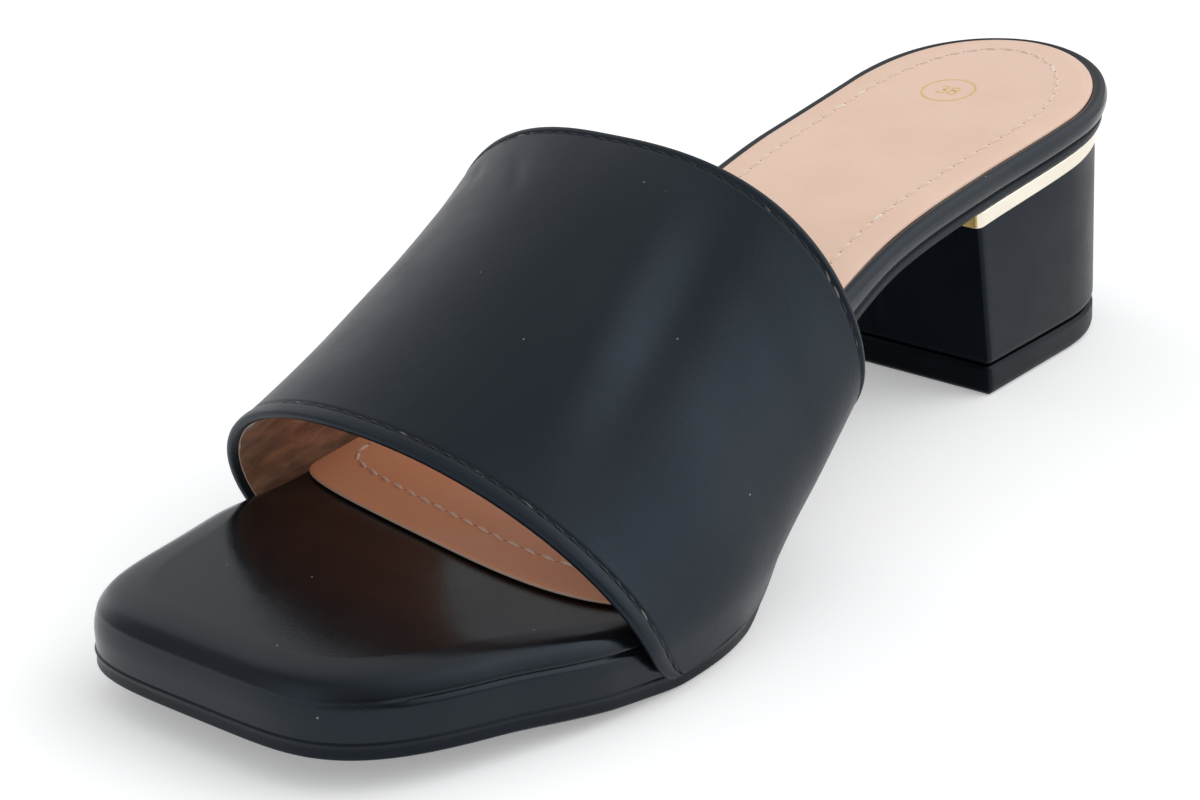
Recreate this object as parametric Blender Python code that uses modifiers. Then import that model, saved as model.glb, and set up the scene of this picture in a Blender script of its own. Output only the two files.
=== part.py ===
"""Block heel sandal: a left slide with one wide strap, a wrapped platform and a D-shaped block heel.

Metres, +Z up. The toe points to -Y, the outer (lateral) side of the foot is +X and the floor is z = 0.
The origin is the centre of the sandal's bounding box, at floor level.
A station is a share of the length, 0 at the back of the heel and 1 at the toe.
"""
import math
from collections import namedtuple

import bmesh
import bpy
from mathutils import Vector

# Overall sizes
LENGTH = 0.245
BALL_WIDTH = 0.0862
SEAT_WIDTH = 0.0572
SEAT_HEIGHT = 0.0475
TOE_SPRING = 0.0053
FOREFOOT_SWING = 0.0085
GAP = 0.0003

# Sole
OUTSOLE_FRONT = 0.0032
OUTSOLE_HEEL = 0.0021
PLATFORM_FRONT = 0.0091
PLATFORM_HEEL = 0.0044
PLATFORM_INSET = 0.0005
INSOLE_THICKNESS = 0.0014
INSOLE_INSET = 0.0031

# Strap: its outer face, before the wall is taken inwards
STRAP_WALL = 0.0018
STRAP_HEIGHT = 0.0662
STRAP_FLARE = 0.0104
STRAP_LEAN = 0.0106
STRAP_TUCK = 0.0075
STRAP_SHOULDER = 0.58

# Heel
HEEL_TOP_INSET = 0.0009
HEEL_FOOT_WIDTH = 0.0527
HEEL_FOOT_SHIFT = 0.0013
HEEL_TOP_DEPTH = 0.0596
HEEL_FOOT_DEPTH = 0.0601
HEEL_TOP_SETBACK = 0.0039
HEEL_FOOT_SETBACK = 0.0001
HEEL_POWER = 2.23
BREAST_SLANT = -0.025
BREAST_CORNER = 0.0012
BAND_HEIGHT = 0.0030
BAND_PROUD = 0.0003
TIP_HEIGHT = 0.0059

# Mesh density
PLAN_POINTS = 54
HEEL_POINTS = 14
SIDE_POINTS = 4
CORNER_POINTS = 3
STRAP_ROWS = 20
STRAP_COLUMNS = 44

Section = namedtuple("Section", "station of outer inner")
OUTLINE = (
    Section(0.00, SEAT_WIDTH, 0.498, 0.491),
    Section(0.12, SEAT_WIDTH, 0.501, 0.443),
    Section(0.25, SEAT_WIDTH, 0.460, 0.448),
    Section(0.36, SEAT_WIDTH, 0.442, 0.422),
    Section(0.44, SEAT_WIDTH, 0.466, 0.444),
    Section(0.52, BALL_WIDTH, 0.374, 0.330),
    Section(0.62, BALL_WIDTH, 0.479, 0.404),
    Section(0.72, BALL_WIDTH, 0.540, 0.460),
    Section(0.82, BALL_WIDTH, 0.496, 0.458),
    Section(0.90, BALL_WIDTH, 0.412, 0.416),
    Section(1.00, BALL_WIDTH, 0.330, 0.375),
)

Rise = namedtuple("Rise", "station heel spring")
UNDERSIDE = (
    Rise(0.00, 1.000, 0.00),
    Rise(0.20, 0.840, 0.00),
    Rise(0.36, 0.712, 0.00),
    Rise(0.44, 0.596, 0.00),
    Rise(0.52, 0.400, 0.00),
    Rise(0.58, 0.220, 0.00),
    Rise(0.64, 0.075, 0.00),
    Rise(0.69, 0.000, 0.00),
    Rise(0.76, 0.000, 0.00),
    Rise(0.80, 0.000, 0.20),
    Rise(0.85, 0.000, 0.52),
    Rise(0.90, 0.000, 0.77),
    Rise(1.00, 0.000, 1.00),
)
THICKENS_FROM = 0.36
THICKENS_TO = 0.66
ROLLS_FROM = 0.76
ROLLS_TO = 0.88
SWINGS_FROM = 0.55

# A plan ends at a front station, with a rounded corner on each side and a slanted front edge.
Plan = namedtuple("Plan", "front outer_cap outer_power inner_cap inner_power slant")
SOLE_PLAN = Plan(1.00, 0.19, 4.0, 0.12, 5.0, 0.04)
INSOLE_PLAN = Plan(0.781, 0.055, 2.6, 0.055, 2.4, -0.113)
HEEL_CAP = 0.125
HEEL_CAP_POWER = 1.95
SLANT_SPAN = 0.25

# Side profiles of the sole's layers, from the bottom up: inset in metres and share of the thickness,
# at the heel seat and at the forefoot. At the seat the platform has a groove below a proud bead, and
# within the bead a shallow dish for the insole. Ahead of the strap its top turns over in a wide roll,
# which adds to the inset.
Edge = namedtuple("Edge", "seat_inset seat_share toe_inset toe_share roll", defaults=(0.0,))
OUTSOLE_PROFILE = (
    Edge(0.0009, 0.00, 0.0014, 0.00),
    Edge(0.0006, 0.22, 0.0004, 0.22),
    Edge(0.0004, 0.55, 0.0000, 0.55),
    Edge(0.0001, 0.88, 0.0000, 0.88),
    Edge(0.0003, 1.00, 0.0003, 1.00),
)
PLATFORM_PROFILE = (
    Edge(-0.0001, 0.00, 0.0003, 0.00),
    Edge(-0.0004, 0.08, 0.0000, 0.08),
    Edge(-0.0004, 0.20, 0.0000, 0.30),
    Edge(-0.0001, 0.28, 0.0001, 0.50),
    Edge(-0.0006, 0.37, 0.0004, 0.64),
    Edge(-0.0008, 0.55, 0.0005, 0.78, 0.0005),
    Edge(-0.0008, 0.75, 0.0010, 0.90, 0.0012),
    Edge(-0.0005, 0.92, 0.0016, 0.965, 0.0029),
    Edge(0.0003, 1.00, 0.0022, 1.00, 0.0063),
    Edge(0.0011, 0.95, 0.0024, 1.00, 0.0071),
    Edge(0.0021, 0.73, 0.0026, 1.00, 0.0079),
)
INSOLE_PROFILE = (
    Edge(0.0003, 0.00, 0.0003, 0.00),
    Edge(0.0000, 0.35, 0.0000, 0.35),
    Edge(0.0001, 0.75, 0.0001, 0.75),
    Edge(0.0006, 1.00, 0.0006, 1.00),
)

# Side profiles of the heel's pieces, the same all the way round
Layer = namedtuple("Layer", "inset share")
BAND_PROFILE = (
    Layer(0.0002, 0.00),
    Layer(0.0000, 0.10),
    Layer(0.0000, 0.90),
    Layer(0.0002, 1.00),
)
BLOCK_PROFILE = (
    Layer(0.0011, 0.00),
    Layer(0.0002, 0.025),
    Layer(0.0000, 0.06),
    Layer(0.0000, 0.50),
    Layer(0.0000, 1.00),
)
TIP_PROFILE = (
    Layer(0.0009, 0.00),
    Layer(0.0002, 0.14),
    Layer(0.0000, 0.35),
    Layer(0.0000, 0.86),
    Layer(0.0006, 1.00),
)

# Strap rows from its front edge to its rear edge
Row = namedtuple(
    "Row",
    "outer_station inner_station shift lean height "
    "outer_flare inner_flare outer_power inner_power lean_power",
)
STRAP_FRONT = Row(0.785, 0.777, -0.095, -1.325, 0.542, 0.035, 0.077, 2.265, 2.051, 0.669)
STRAP_MIDDLE = Row(0.668, 0.674, -0.058, 0.186, 0.871, 0.357, 0.176, 2.183, 2.094, 1.392)
STRAP_REAR = Row(0.550, 0.571, -0.030, -0.358, 1.018, 1.168, 0.564, 2.712, 2.654, 1.320)

# Soft folds across the strap: a trough (negative depth) or ridge between two places, as shares of
# the way from its front to its rear edge and from its outer to its inner foot
Fold = namedtuple("Fold", "from_row from_column to_row to_column half_width depth")
FOLDS = (
    Fold(0.85, 0.406, 0.15, 0.367, 0.0055, -0.0010),
    Fold(0.75, 0.439, 0.15, 0.386, 0.0060, 0.0006),
)


def ease(share):
    """A smooth step from 0 to 1."""
    share = min(max(share, 0.0), 1.0)
    return share * share * (3.0 - 2.0 * share)


def through(places, values, at):
    """Reads a smooth curve through a table's values, with no overshoot between them."""
    at = min(max(at, places[0]), places[-1])
    steps = []
    for i in range(len(places) - 1):
        steps.append((values[i + 1] - values[i]) / (places[i + 1] - places[i]))
    slopes = [steps[0]]
    for before, after in zip(steps, steps[1:]):
        slopes.append(2.0 * before * after / (before + after) if before * after > 0.0 else 0.0)
    slopes.append(steps[-1])
    k = max(i for i in range(len(steps)) if places[i] <= at)
    span = places[k + 1] - places[k]
    t = (at - places[k]) / span
    rise = t * t * (3.0 - 2.0 * t)
    start = t * (1.0 - t) * (1.0 - t) * slopes[k] * span
    end = t * t * (t - 1.0) * slopes[k + 1] * span
    return values[k] + rise * (values[k + 1] - values[k]) + start + end


def half_width(station, side):
    """Half width of the sole at a station, on the outer (1) or the inner (-1) side."""
    places = [row.station for row in OUTLINE]
    values = [row.of * (row.outer if side > 0 else row.inner) for row in OUTLINE]
    return through(places, values, station)


def underside(station):
    """Height of the outsole's tread above the floor."""
    places = [row.station for row in UNDERSIDE]
    arch = through(places, [row.heel for row in UNDERSIDE], station)
    toe = through(places, [row.spring for row in UNDERSIDE], station)
    return arch * SEAT_HEIGHT + toe * TOE_SPRING


def blend(heel, front, station):
    """From a value at the heel seat to one at the forefoot, such as a sole layer's thickness."""
    return heel + (front - heel) * ease((station - THICKENS_FROM) / (THICKENS_TO - THICKENS_FROM))


def station_of(y):
    return min(max(0.5 - y / LENGTH, 0.0), 1.0)


def tread(y):
    return underside(station_of(y))


def outsole_top(y):
    return tread(y) + blend(OUTSOLE_HEEL, OUTSOLE_FRONT, station_of(y))


def platform_bottom(y):
    return outsole_top(y) + GAP


def platform_height(y):
    return blend(PLATFORM_HEEL, PLATFORM_FRONT, station_of(y))


def platform_top(y):
    return platform_bottom(y) + platform_height(y)


def platform_floor(y):
    """The platform's top face within its rim, which lies lower at the heel seat."""
    middle = PLATFORM_PROFILE[-1]
    return platform_bottom(y) + platform_height(y) * blend(middle.seat_share, middle.toe_share, station_of(y))


def insole_bottom(y):
    return platform_floor(y) + GAP


def insole_top(y):
    return insole_bottom(y) + INSOLE_THICKNESS


def corner(share, cap, power):
    """How far the outline closes in over its last stretch, 1 before it and 0 at the very end."""
    if share >= cap:
        return 1.0
    return (1.0 - ((cap - share) / cap) ** power) ** (1.0 / power)


def plan_point(plan, station, side, seat_inset=0.0, toe_inset=0.0, roll=0.0):
    """A point of the outline, drawn in, on the outer (1) or the inner (-1) side."""
    cap, power = (plan.outer_cap, plan.outer_power) if side > 0 else (plan.inner_cap, plan.inner_power)
    behind = station - seat_inset / LENGTH
    ahead = plan.front - (toe_inset + roll) / LENGTH - station
    closing = corner(behind, HEEL_CAP, HEEL_CAP_POWER) * corner(ahead, cap, power)
    rolled = ease((station - ROLLS_FROM) / (ROLLS_TO - ROLLS_FROM))
    width = (half_width(station, side) - blend(seat_inset, toe_inset, station) - roll * rolled) * closing
    middle = FOREFOOT_SWING * ease((station - SWINGS_FROM) / (1.0 - SWINGS_FROM))
    slant = plan.slant * ease(1.0 - ahead / SLANT_SPAN)
    return Vector((middle + side * width, (0.5 - station) * LENGTH + slant * side * width, 0.0))


def plan_ring(plan, seat_inset, toe_inset, roll):
    """The closed outline, drawn in: the outer side from heel to toe, then the inner side back."""
    start = seat_inset / LENGTH
    span = plan.front - (toe_inset + roll) / LENGTH - start
    shares = [(1.0 - math.cos(math.pi * (i + 0.5) / PLAN_POINTS)) / 2.0 for i in range(PLAN_POINTS)]
    stations = [start + span * share for share in shares]
    insets = (seat_inset, toe_inset, roll)
    outer = [plan_point(plan, station, 1, *insets) for station in stations]
    inner = [plan_point(plan, station, -1, *insets) for station in reversed(stations)]
    return outer + inner


def heel_side(top_share, side):
    """One side of the heel's D outline, at a share of its height, from the back to the breast."""
    setback = HEEL_FOOT_SETBACK + (HEEL_TOP_SETBACK - HEEL_FOOT_SETBACK) * top_share
    depth = HEEL_FOOT_DEPTH + (HEEL_TOP_DEPTH - HEEL_FOOT_DEPTH) * top_share
    back = LENGTH / 2.0 - setback
    turn = back - HEEL_CAP * LENGTH

    def half(y):
        foot = HEEL_FOOT_WIDTH / 2.0 + side * HEEL_FOOT_SHIFT
        seat = half_width(station_of(y), side) - HEEL_TOP_INSET
        return foot + (seat - foot) * top_share

    points = []
    for i in range(HEEL_POINTS):
        ahead = math.cos(math.pi / 2.0 * (i + 0.5) / HEEL_POINTS)
        y = turn + (back - turn) * ahead
        points.append(Vector((side * half(y) * (1.0 - ahead ** HEEL_POWER) ** (1.0 / HEEL_POWER), y, 0.0)))
    edge = half(back - depth)
    breast = back - depth + BREAST_SLANT * side * edge
    for i in range(1, SIDE_POINTS + 1):
        y = turn + (breast + BREAST_CORNER - turn) * i / SIDE_POINTS
        points.append(Vector((side * half(y), y, 0.0)))
    for i in range(1, CORNER_POINTS + 1):
        angle = math.pi / 2.0 * i / CORNER_POINTS
        x = edge - BREAST_CORNER * (1.0 - math.cos(angle))
        points.append(Vector((side * x, breast + BREAST_CORNER * (1.0 - math.sin(angle)), 0.0)))
    return points


def heel_ring(top_share):
    """The heel's closed D outline: the outer side from back to breast, then the inner side back."""
    return heel_side(top_share, 1) + heel_side(top_share, -1)[::-1]


def inset_ring(ring, inset):
    """Moves each point of a closed outline inwards, square to the outline."""
    moved = []
    for i, point in enumerate(ring):
        along = ring[(i + 1) % len(ring)] - ring[i - 1]
        inwards = Vector((along.y, -along.x, 0.0)).normalized()
        moved.append(point + inwards * inset)
    return moved


def new_object(name, mesh, material, collection, parent):
    mesh.materials.append(material)
    item = bpy.data.objects.new(name, mesh)
    collection.objects.link(item)
    item.parent = parent
    return item


def loft(name, rings, material, collection, parent):
    """Joins rings of equal length, bottom ring first, and closes both ends from side to side."""
    mesh = bpy.data.meshes.new(name)
    shape = bmesh.new()
    count = len(rings[0])
    rows = [[shape.verts.new(point) for point in ring] for ring in rings]
    for lower, upper in zip(rows, rows[1:]):
        for i in range(count):
            j = (i + 1) % count
            shape.faces.new((lower[i], upper[i], upper[j], lower[j]))
    for i in range(count // 2 - 1):
        shape.faces.new((rows[0][i], rows[0][i + 1], rows[0][count - 2 - i], rows[0][count - 1 - i]))
        shape.faces.new((rows[-1][i], rows[-1][count - 1 - i], rows[-1][count - 2 - i], rows[-1][i + 1]))
    bmesh.ops.recalc_face_normals(shape, faces=shape.faces)
    shape.to_mesh(mesh)
    shape.free()
    mesh.shade_smooth()
    mesh.set_sharp_from_angle(angle=math.radians(40.0))
    return new_object(name, mesh, material, collection, parent)


def raise_ring(ring, bottom, top, share):
    """Lifts an outline to a share of the way between two height functions of y."""
    return [Vector((p.x, p.y, bottom(p.y) + share * (top(p.y) - bottom(p.y)))) for p in ring]


def slab(name, plan, profile, inset, bottom, top, material, collection, parent):
    """A sole layer: one outline, drawn in and lifted by each edge of its side profile."""
    rings = []
    for edge in profile:
        ring = plan_ring(plan, inset + edge.seat_inset, inset + edge.toe_inset, edge.roll)
        for point in ring:
            share = blend(edge.seat_share, edge.toe_share, station_of(point.y))
            point.z = bottom(point.y) + share * (top(point.y) - bottom(point.y))
        rings.append(ring)
    return loft(name, rings, material, collection, parent)


def heel_piece(name, profile, proud, low, high, bottom, top, material, collection, parent):
    """A piece of the heel between two height functions, with its outline read at shares of the heel."""
    rings = []
    for layer in profile:
        base = heel_ring(low + (high - low) * layer.share)
        rings.append(raise_ring(inset_ring(base, layer.inset - proud), bottom, top, layer.share))
    return loft(name, rings, material, collection, parent)


def row_at(share):
    """The strap's section at a share of its width, on a curve through its three rows."""
    front = (1.0 - share) * (1.0 - 2.0 * share)
    middle = 4.0 * share * (1.0 - share)
    rear = share * (2.0 * share - 1.0)
    values = []
    for a, b, c in zip(STRAP_FRONT, STRAP_MIDDLE, STRAP_REAR):
        values.append(front * a + middle * b + rear * c)
    return Row(*values)


def strap_foot(station, side):
    """Where the strap's outer face meets the sole, just clear of the platform's side."""
    point = plan_point(SOLE_PLAN, station, side)
    point.x += side * (STRAP_WALL + GAP - PLATFORM_INSET)
    point.z = outsole_top(point.y) + GAP
    return point


def strap_face(share, around):
    """A point of the strap's face, before its folds. around is 0 at its outer foot, 1 at its inner."""
    row = row_at(share)
    outer = strap_foot(row.outer_station, 1)
    inner = strap_foot(row.inner_station, -1)
    angle = math.pi * (around - 0.12 * math.sin(2.0 * math.pi * around))
    across = (1.0 - math.cos(angle)) / 2.0
    foot = outer.lerp(inner, across)
    power = row.outer_power + (row.inner_power - row.outer_power) * across
    arch = max(math.sin(angle), 0.0) ** (2.0 / power)
    crown = STRAP_HEIGHT * row.height
    climb = arch * (crown - foot.z)
    wall = STRAP_SHOULDER * platform_height(foot.y)
    bend = max(climb - wall, 0.0) / (crown - foot.z - wall)
    reach = math.copysign(max(1.0 - bend ** power, 0.0) ** (1.0 / power), math.cos(angle))
    flare = STRAP_FLARE * (row.outer_flare if reach > 0.0 else row.inner_flare)
    tuck = math.exp(-(climb / STRAP_TUCK) ** 1.5)
    x = (outer.x + inner.x) / 2.0 + ((outer.x - inner.x) / 2.0 + flare * (1.0 - tuck)) * reach
    x += row.shift * BALL_WIDTH * bend ** 1.5
    y = foot.y + row.lean * STRAP_LEAN * arch ** row.lean_power
    return Vector((x, y, foot.z + climb))


def fold_depth(share, around):
    """Height of the soft folds at a place on the strap."""
    depth = 0.0
    here = strap_face(share, around)
    for fold in FOLDS:
        start = strap_face(fold.from_row, fold.from_column)
        end = strap_face(fold.to_row, fold.to_column)
        along = (here - start).dot(end - start) / (end - start).length_squared
        nearest = start.lerp(end, min(max(along, 0.0), 1.0))
        off = (here - nearest).length / fold.half_width
        fade = ease(1.0 - abs(2.0 * min(max(along, -0.2), 1.2) - 1.0) * 0.7)
        depth += fold.depth * fade * math.exp(-off * off)
    return depth


def strap(material, collection, parent):
    """The upper: one open face over the foot, given its wall inwards."""
    mesh = bpy.data.meshes.new("upper")
    shape = bmesh.new()
    grid = []
    for i in range(STRAP_ROWS + 1):
        line = []
        for j in range(STRAP_COLUMNS + 1):
            line.append(shape.verts.new(strap_face(i / STRAP_ROWS, j / STRAP_COLUMNS)))
        grid.append(line)
    for i in range(STRAP_ROWS):
        for j in range(STRAP_COLUMNS):
            shape.faces.new((grid[i][j], grid[i + 1][j], grid[i + 1][j + 1], grid[i][j + 1]))
    shape.normal_update()
    lifts = []
    for i in range(STRAP_ROWS + 1):
        for j in range(STRAP_COLUMNS + 1):
            lift = fold_depth(i / STRAP_ROWS, j / STRAP_COLUMNS)
            lifts.append((grid[i][j], grid[i][j].normal * lift))
    for vert, lift in lifts:
        vert.co += lift
    shape.to_mesh(mesh)
    shape.free()
    mesh.shade_smooth()
    item = new_object("upper", mesh, material, collection, parent)
    wall = item.modifiers.new("wall", "SOLIDIFY")
    wall.thickness = STRAP_WALL
    wall.offset = -1.0
    wall.use_even_offset = True
    return item


def plain_material(name, colour, roughness, metallic=0.0):
    material = bpy.data.materials.new(name)
    material.use_nodes = True
    shader = material.node_tree.nodes["Principled BSDF"]
    shader.inputs["Base Color"].default_value = (*colour, 1.0)
    shader.inputs["Roughness"].default_value = roughness
    shader.inputs["Metallic"].default_value = metallic
    material.diffuse_color = (*colour, 1.0)
    return material


def seat_low(y):
    """Underside of the gold band, along the slope of the heel seat."""
    return tread(y) - GAP - BAND_HEIGHT


def centre_on_floor(frame, pieces):
    """Moves the whole sandal so that the centre of its box stands over the origin."""
    bpy.context.view_layer.update()
    depsgraph = bpy.context.evaluated_depsgraph_get()
    corners = []
    for piece in pieces:
        shown = piece.evaluated_get(depsgraph)
        corners.extend(shown.matrix_world @ Vector(corner_point) for corner_point in shown.bound_box)
    low_x = min(point.x for point in corners)
    high_x = max(point.x for point in corners)
    low_y = min(point.y for point in corners)
    high_y = max(point.y for point in corners)
    frame.location = (-(low_x + high_x) / 2.0, -(low_y + high_y) / 2.0, 0.0)
    bpy.context.view_layer.update()


def build():
    for item in list(bpy.data.objects):
        bpy.data.objects.remove(item, do_unlink=True)
    collection = bpy.data.collections.new("block_heel_sandal")
    bpy.context.scene.collection.children.link(collection)
    frame = bpy.data.objects.new("sandal_frame", None)
    collection.objects.link(frame)

    rubber = plain_material("outsole_rubber", (0.016, 0.017, 0.020), 0.55)
    wrap = plain_material("platform_wrap", (0.020, 0.021, 0.026), 0.38)
    sock = plain_material("insole_sock", (0.66, 0.43, 0.32), 0.50)
    leather = plain_material("upper_leather", (0.022, 0.024, 0.030), 0.42)
    gold = plain_material("gold_trim", (0.80, 0.70, 0.50), 0.22, 1.0)
    cover = plain_material("heel_cover", (0.020, 0.021, 0.026), 0.45)
    tip = plain_material("tip_rubber", (0.014, 0.015, 0.018), 0.60)

    here = (collection, frame)
    pieces = [
        slab("outsole", SOLE_PLAN, OUTSOLE_PROFILE, 0.0, tread, outsole_top, rubber, *here),
        slab("platform", SOLE_PLAN, PLATFORM_PROFILE, PLATFORM_INSET,
             platform_bottom, platform_top, wrap, *here),
        slab("insole", INSOLE_PLAN, INSOLE_PROFILE, INSOLE_INSET,
             insole_bottom, insole_top, sock, *here),
        strap(leather, *here),
        heel_piece("heel_band", BAND_PROFILE, BAND_PROUD, 0.94, 1.0, seat_low,
                   lambda y: tread(y) - GAP, gold, *here),
        heel_piece("heel_block", BLOCK_PROFILE, 0.0, 0.12, 0.94, lambda y: TIP_HEIGHT + GAP,
                   lambda y: seat_low(y) - GAP, cover, *here),
        heel_piece("heel_tip", TIP_PROFILE, 0.0, 0.0, 0.12, lambda y: 0.0,
                   lambda y: TIP_HEIGHT, tip, *here),
    ]
    centre_on_floor(frame, pieces)


build()
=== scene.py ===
"""Looks of the block heel sandal: fine surfaces, stitches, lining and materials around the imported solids.

Metres, +Z up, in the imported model's frame. The toe points to -Y and the outer side of the left foot is +X.
The shapes repeat the solids' own formulas with more points, then add folded edges, grooves and stitches.
"""

import math
from collections import namedtuple

import bmesh
import bpy
import numpy as np
from mathutils import Matrix, Vector


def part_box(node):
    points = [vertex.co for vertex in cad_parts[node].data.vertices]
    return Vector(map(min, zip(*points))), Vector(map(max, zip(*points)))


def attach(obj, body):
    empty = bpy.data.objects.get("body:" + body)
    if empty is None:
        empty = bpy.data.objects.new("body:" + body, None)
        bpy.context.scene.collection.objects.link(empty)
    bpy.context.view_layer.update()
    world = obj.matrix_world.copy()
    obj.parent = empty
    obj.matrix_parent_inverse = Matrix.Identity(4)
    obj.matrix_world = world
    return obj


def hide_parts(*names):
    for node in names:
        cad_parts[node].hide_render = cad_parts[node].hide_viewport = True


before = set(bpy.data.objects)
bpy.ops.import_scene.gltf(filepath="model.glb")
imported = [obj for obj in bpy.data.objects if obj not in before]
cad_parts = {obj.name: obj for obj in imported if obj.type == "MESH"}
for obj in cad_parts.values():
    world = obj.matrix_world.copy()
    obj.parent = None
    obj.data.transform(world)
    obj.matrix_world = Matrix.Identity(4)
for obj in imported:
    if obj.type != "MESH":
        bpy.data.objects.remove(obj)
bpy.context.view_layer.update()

# Overall sizes, as in the solids
LENGTH = 0.245
BALL_WIDTH = 0.0862
SEAT_WIDTH = 0.0572
SEAT_HEIGHT = 0.0475
TOE_SPRING = 0.0053
FOREFOOT_SWING = 0.0085
GAP = 0.0003
OUTSOLE_FRONT = 0.0032
OUTSOLE_HEEL = 0.0021
PLATFORM_FRONT = 0.0091
PLATFORM_HEEL = 0.0044
PLATFORM_INSET = 0.0005
INSOLE_THICKNESS = 0.0014
INSOLE_FRONT = 0.0008
INSOLE_INSET = 0.0031
STRAP_WALL = 0.0018
STRAP_HEIGHT = 0.0662
STRAP_FLARE = 0.0104
STRAP_LEAN = 0.0106
STRAP_TUCK = 0.0075
STRAP_SHOULDER = 0.58
HEEL_TOP_INSET = 0.0009
HEEL_FOOT_WIDTH = 0.0527
HEEL_FOOT_SHIFT = 0.0013
HEEL_TOP_DEPTH = 0.0596
HEEL_FOOT_DEPTH = 0.0601
HEEL_TOP_SETBACK = 0.0039
HEEL_FOOT_SETBACK = 0.0001
HEEL_POWER = 2.23
BREAST_SLANT = -0.025
BREAST_CORNER = 0.0012
BAND_HEIGHT = 0.0030
BAND_PROUD = 0.0003
TIP_HEIGHT = 0.0059

Section = namedtuple("Section", "station of outer inner")
OUTLINE = (
    Section(0.00, SEAT_WIDTH, 0.498, 0.491),
    Section(0.12, SEAT_WIDTH, 0.501, 0.443),
    Section(0.25, SEAT_WIDTH, 0.460, 0.448),
    Section(0.36, SEAT_WIDTH, 0.442, 0.422),
    Section(0.44, SEAT_WIDTH, 0.466, 0.444),
    Section(0.52, BALL_WIDTH, 0.374, 0.330),
    Section(0.62, BALL_WIDTH, 0.479, 0.404),
    Section(0.72, BALL_WIDTH, 0.540, 0.460),
    Section(0.82, BALL_WIDTH, 0.496, 0.458),
    Section(0.90, BALL_WIDTH, 0.412, 0.416),
    Section(1.00, BALL_WIDTH, 0.330, 0.375),
)

Rise = namedtuple("Rise", "station heel spring")
UNDERSIDE = (
    Rise(0.00, 1.000, 0.00),
    Rise(0.20, 0.840, 0.00),
    Rise(0.36, 0.712, 0.00),
    Rise(0.44, 0.596, 0.00),
    Rise(0.52, 0.400, 0.00),
    Rise(0.58, 0.220, 0.00),
    Rise(0.64, 0.075, 0.00),
    Rise(0.69, 0.000, 0.00),
    Rise(0.76, 0.000, 0.00),
    Rise(0.80, 0.000, 0.20),
    Rise(0.85, 0.000, 0.52),
    Rise(0.90, 0.000, 0.77),
    Rise(1.00, 0.000, 1.00),
)
THICKENS_FROM = 0.36
THICKENS_TO = 0.66
ROLLS_FROM = 0.76
ROLLS_TO = 0.88
SWINGS_FROM = 0.55

# A plan ends at a front station, with a rounded corner on each side and a slanted front edge.
Plan = namedtuple("Plan", "front outer_cap outer_power inner_cap inner_power slant")
SOLE_PLAN = Plan(1.00, 0.19, 4.0, 0.12, 5.0, 0.04)
INSOLE_PLAN = Plan(0.797, 0.100, 2.9, 0.030, 5.0, -0.180)
HEEL_CAP = 0.125
HEEL_CAP_POWER = 1.95
SLANT_SPAN = 0.25

# Side profiles of the sole's layers, from the bottom up: inset in metres and share of the thickness,
# at the heel seat and at the forefoot. At the seat the platform is a proud bead over a soft groove, and
# within the bead is a shallow dish for the insole. Ahead of the strap its top turns over in a wide roll,
# which adds to the inset.
Edge = namedtuple("Edge", "seat_inset seat_share toe_inset toe_share roll", defaults=(0.0,))
OUTSOLE_PROFILE = (
    Edge(0.0006, 0.00, 0.0010, 0.00),
    Edge(0.0003, 0.15, 0.0002, 0.22),
    Edge(0.0001, 0.45, 0.0003, 0.62),
    Edge(0.0001, 0.75, 0.0001, 0.88),
    Edge(0.0006, 1.00, 0.0003, 1.00),
)
PLATFORM_PROFILE = (
    Edge(0.0002, 0.00, -0.0002, 0.00),
    Edge(-0.0003, 0.08, -0.0002, 0.06),
    Edge(-0.0007, 0.20, -0.0002, 0.30),
    Edge(-0.0009, 0.33, 0.0000, 0.50),
    Edge(-0.0010, 0.48, 0.0003, 0.64),
    Edge(-0.0010, 0.62, 0.0005, 0.78, 0.0004),
    Edge(-0.0008, 0.78, 0.0010, 0.90, 0.0009),
    Edge(-0.0005, 0.92, 0.0016, 0.965, 0.0022),
    Edge(0.0003, 1.00, 0.0022, 1.00, 0.0048),
    Edge(0.0011, 0.95, 0.0024, 1.00, 0.0054),
    Edge(0.0021, 0.73, 0.0026, 1.00, 0.0060),
)
INSOLE_PROFILE = (
    Edge(-0.0003, 0.00, -0.0012, 0.00),
    Edge(-0.0012, 0.42, -0.0015, 0.35),
    Edge(-0.0009, 0.78, -0.0014, 0.75),
    Edge(0.0004, 1.00, -0.0009, 1.00),
)

# Side profiles of the heel's pieces, the same all the way round
Layer = namedtuple("Layer", "inset share")
BAND_PROFILE = (
    Layer(0.0003, 0.00),
    Layer(0.0000, 0.10),
    Layer(0.0000, 0.90),
    Layer(0.0003, 1.00),
)
BLOCK_PROFILE = (
    Layer(0.0011, 0.000),
    Layer(0.0002, 0.025),
    Layer(0.0000, 0.060),
    Layer(0.0000, 0.500),
    Layer(0.0000, 1.000),
)
TIP_PROFILE = (
    Layer(0.0009, 0.00),
    Layer(0.0002, 0.14),
    Layer(0.0000, 0.35),
    Layer(0.0000, 0.86),
    Layer(0.0006, 1.00),
)

# Strap rows from its front edge to its rear edge
Row = namedtuple("Row", "outer_station inner_station shift lean height outer_flare inner_flare"
                        " outer_power inner_power lean_power")
STRAP_FRONT = Row(0.785, 0.777, -0.095, -1.325, 0.542, 0.035, 0.077, 2.265, 2.051, 0.669)
STRAP_MIDDLE = Row(0.668, 0.674, -0.058, 0.186, 0.871, 0.357, 0.176, 2.183, 2.094, 1.392)
STRAP_REAR = Row(0.550, 0.571, -0.030, -0.358, 1.018, 1.168, 0.564, 2.712, 2.654, 1.320)

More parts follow.
